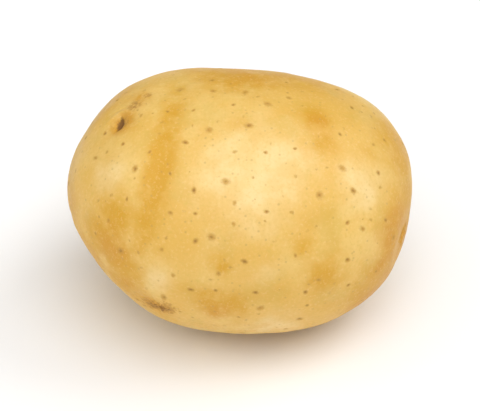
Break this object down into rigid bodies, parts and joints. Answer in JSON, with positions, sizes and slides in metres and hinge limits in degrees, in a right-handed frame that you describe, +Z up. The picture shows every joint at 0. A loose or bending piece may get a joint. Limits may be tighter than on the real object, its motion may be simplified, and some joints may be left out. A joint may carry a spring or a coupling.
{
  "type": "potato",
  "caption": "Whole washed table potato with smooth yellow skin, an oval body with one narrower end, shallow eyes and brown lenticels, lying on its side.",
  "frame": {"origin": "on the surface the potato rests on, under the middle of its bounding box", "axes": "+Z up, +X along the potato from the narrow end with the eyes to the blunt stem end, +Y to its far side"},
  "size_m": [0.075, 0.059, 0.055],
  "materials": {
    "skin": "thin washed yellow skin, satin, mottled ochre with small brown lenticels"
  },
  "bodies": {
    "root": {"potato": "skin"}
  },
  "joints": []
}
